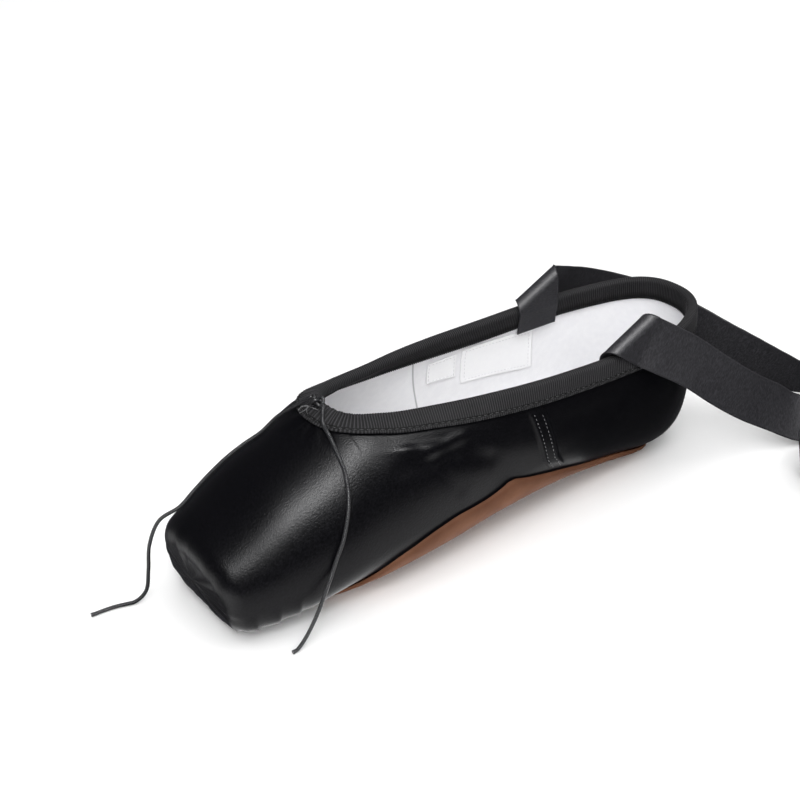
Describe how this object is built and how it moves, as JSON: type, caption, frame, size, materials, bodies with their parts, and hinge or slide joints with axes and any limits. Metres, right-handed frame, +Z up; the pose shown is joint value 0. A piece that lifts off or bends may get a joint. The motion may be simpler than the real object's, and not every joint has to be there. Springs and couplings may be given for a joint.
{
  "type": "ballet shoe",
  "caption": "Black satin pointe shoe with a flat toe platform, leather outsole, drawstring collar and untied ankle ribbons, standing empty on its sole",
  "frame": {"origin": "on the floor on the shoe's centre plane, at the middle of the flat spot under the ball of the foot", "axes": "+Z up, -Y towards the toe platform, +Y towards the heel, +X towards the wearer's left"},
  "size_m": [0.1424, 0.3943, 0.0756],
  "materials": {
    "satin": "black satin with a soft streaked sheen",
    "sole_leather": "smooth brown leather, worn flat where it stands",
    "lining": "white cotton lining",
    "tape": "matte charcoal ribbed tape, stitched along its edge",
    "label": "plain white woven label, bare",
    "drawstring": "black round elastic cord",
    "ribbon": "charcoal satin ribbon with narrow selvedges"
  },
  "bodies": {
    "root": {"upper": "satin", "outsole": "sole_leather", "insole": "lining", "binding": "tape", "label_small": "label", "label_large": "label", "drawstring_knot": "drawstring", "drawstring_end_left": "drawstring", "drawstring_end_right": "drawstring", "ribbon_left": "ribbon", "ribbon_right": "ribbon"}
  },
  "joints": []
}
